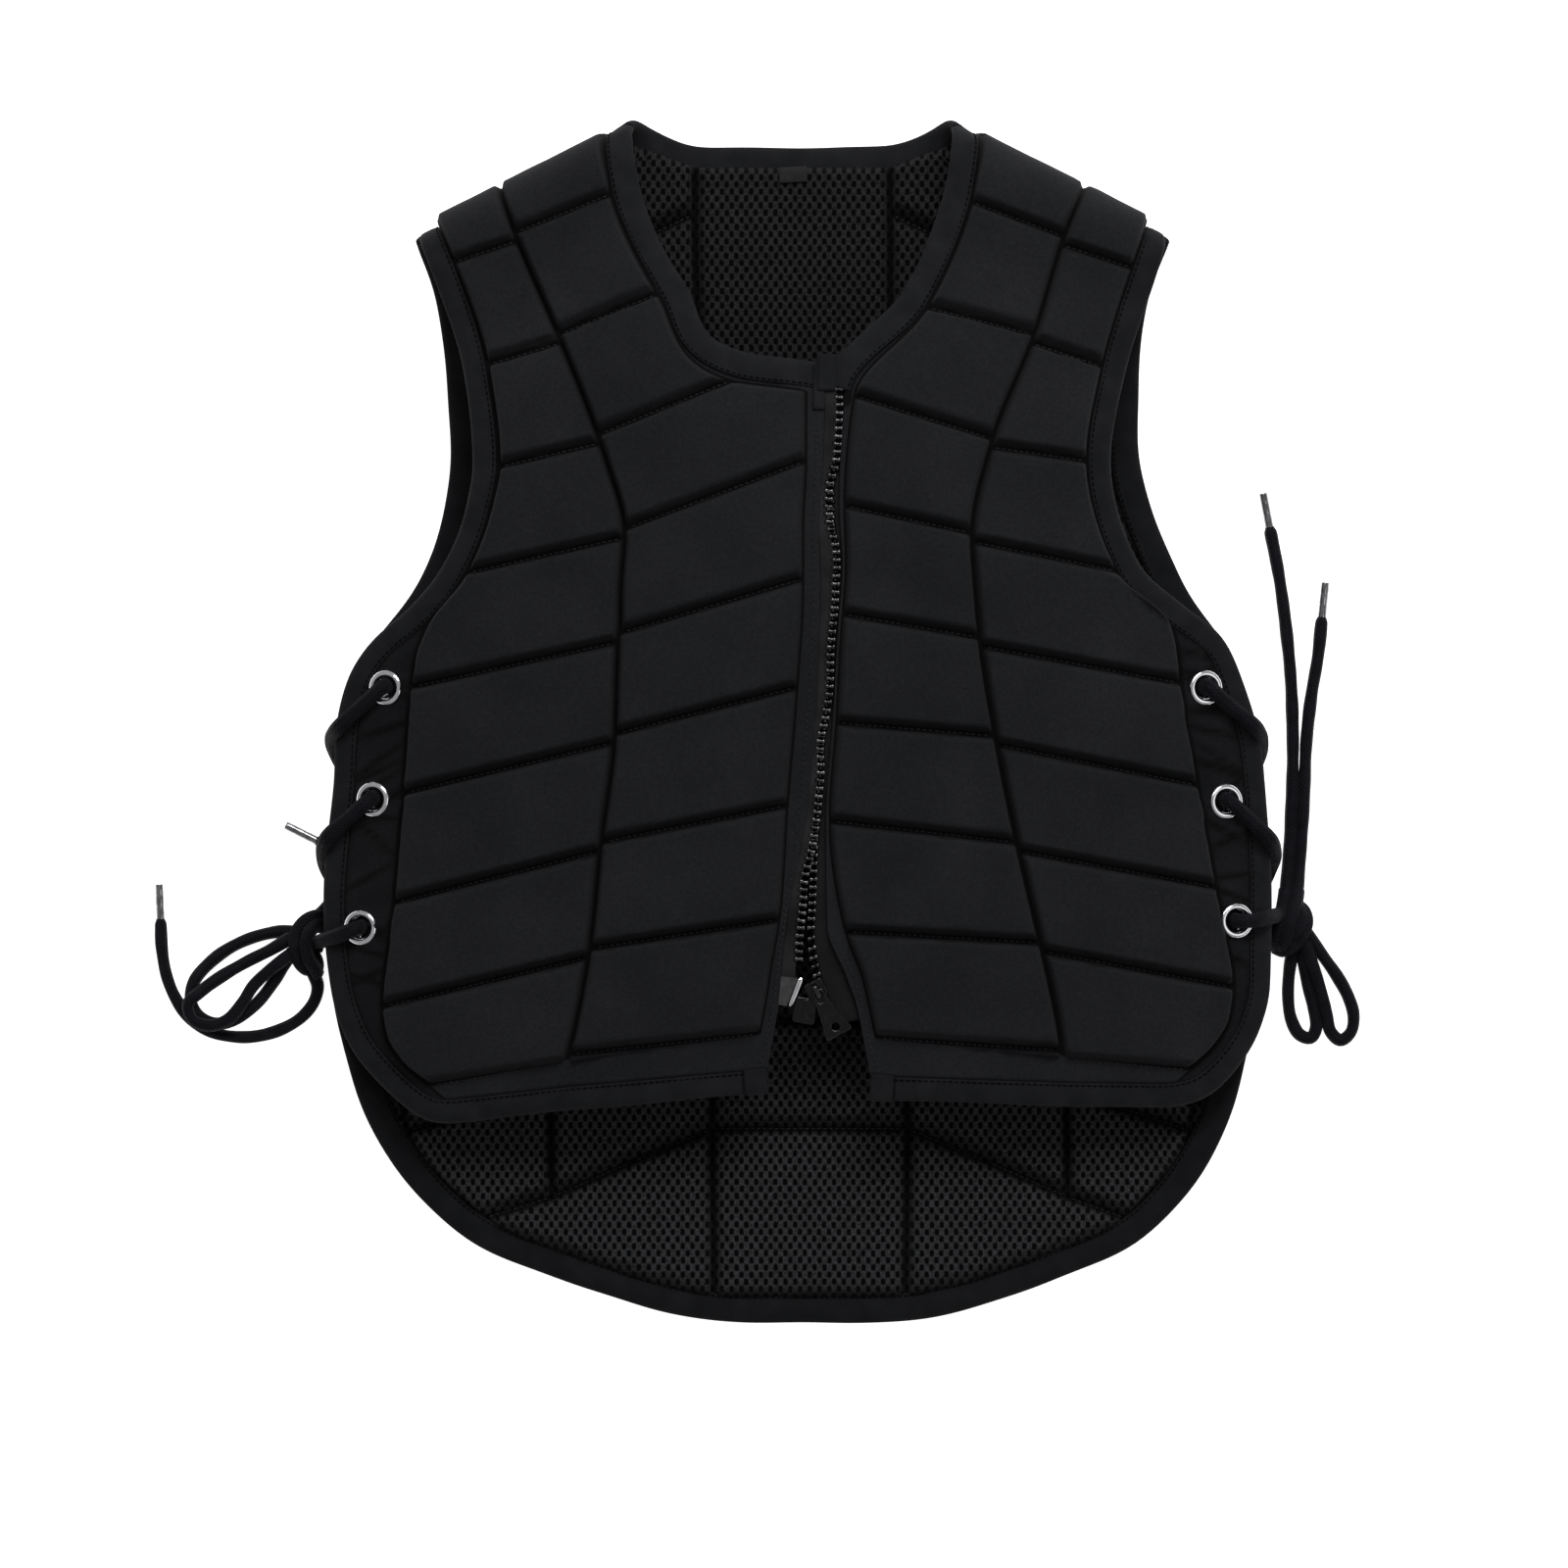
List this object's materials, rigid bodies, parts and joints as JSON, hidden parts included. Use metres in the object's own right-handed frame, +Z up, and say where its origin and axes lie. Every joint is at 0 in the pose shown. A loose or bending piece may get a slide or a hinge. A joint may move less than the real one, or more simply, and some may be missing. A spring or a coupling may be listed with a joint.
{
  "type": "protective vest",
  "caption": "Black quilted foam protective vest lying on its back, front zip undone, laced through metal eyelets at both sides with tied cords.",
  "frame": {"origin": "centre of the vest's box without the loose bows and lace ends, on the plane it lies on", "axes": "+Y from the tail to the neck, +X to the right of the picture, +Z up from the back to the front"},
  "size_m": [0.6195, 0.6122, 0.0767],
  "materials": {
    "cloth": "matte black woven nylon over foam",
    "tape": "matte woven zip tape",
    "lace": "black round braid with a slight sheen",
    "label": "black satin tag, bare",
    "teeth": "black moulded teeth",
    "black_metal": "glossy black coated metal",
    "silver": "polished nickel"
  },
  "bodies": {
    "vest": {"front_left_panel": "cloth", "front_right_panel": "cloth", "back_panel": "cloth", "front_left_binding": "cloth", "front_right_binding": "cloth", "back_binding": "cloth", "neck_binding": "cloth", "zip_tape_left": "tape", "zip_tape_right": "tape", "bow_left_1": "lace", "bow_left_2": "lace", "bow_right_1": "lace", "bow_right_2": "lace", "lace_end_left_long": "lace", "lace_end_left_short": "lace", "lace_end_right_1": "lace", "lace_end_right_2": "lace", "knot_left": "lace", "knot_right": "lace", "lacing_left": "lace", "lacing_right": "lace", "zip_teeth_left": "teeth", "zip_teeth_right": "teeth", "zip_pin": "black_metal", "zip_slider": "black_metal", "zip_box": "black_metal", "eyelet_front_left_1": "silver", "eyelet_front_left_2": "silver", "eyelet_front_left_3": "silver", "eyelet_front_right_1": "silver", "eyelet_front_right_2": "silver", "eyelet_front_right_3": "silver", "eyelet_back_left_1": "silver", "eyelet_back_left_2": "silver", "eyelet_back_left_3": "silver", "eyelet_back_right_1": "silver", "eyelet_back_right_2": "silver", "eyelet_back_right_3": "silver", "aglet_left_long": "silver", "aglet_left_short": "silver", "aglet_right_1": "silver", "aglet_right_2": "silver", "neck_label": "label"},
    "pull": {"zip_pull": "black_metal"}
  },
  "joints": [
    {"name": "zip_pull_hinge", "type": "hinge", "parent": "vest", "child": "pull", "pos_m": [0.00871, -0.13582, 0.06413], "axis": [-0.8826, -0.4693, -0.0273], "range_deg": [0, 130]}
  ]
}
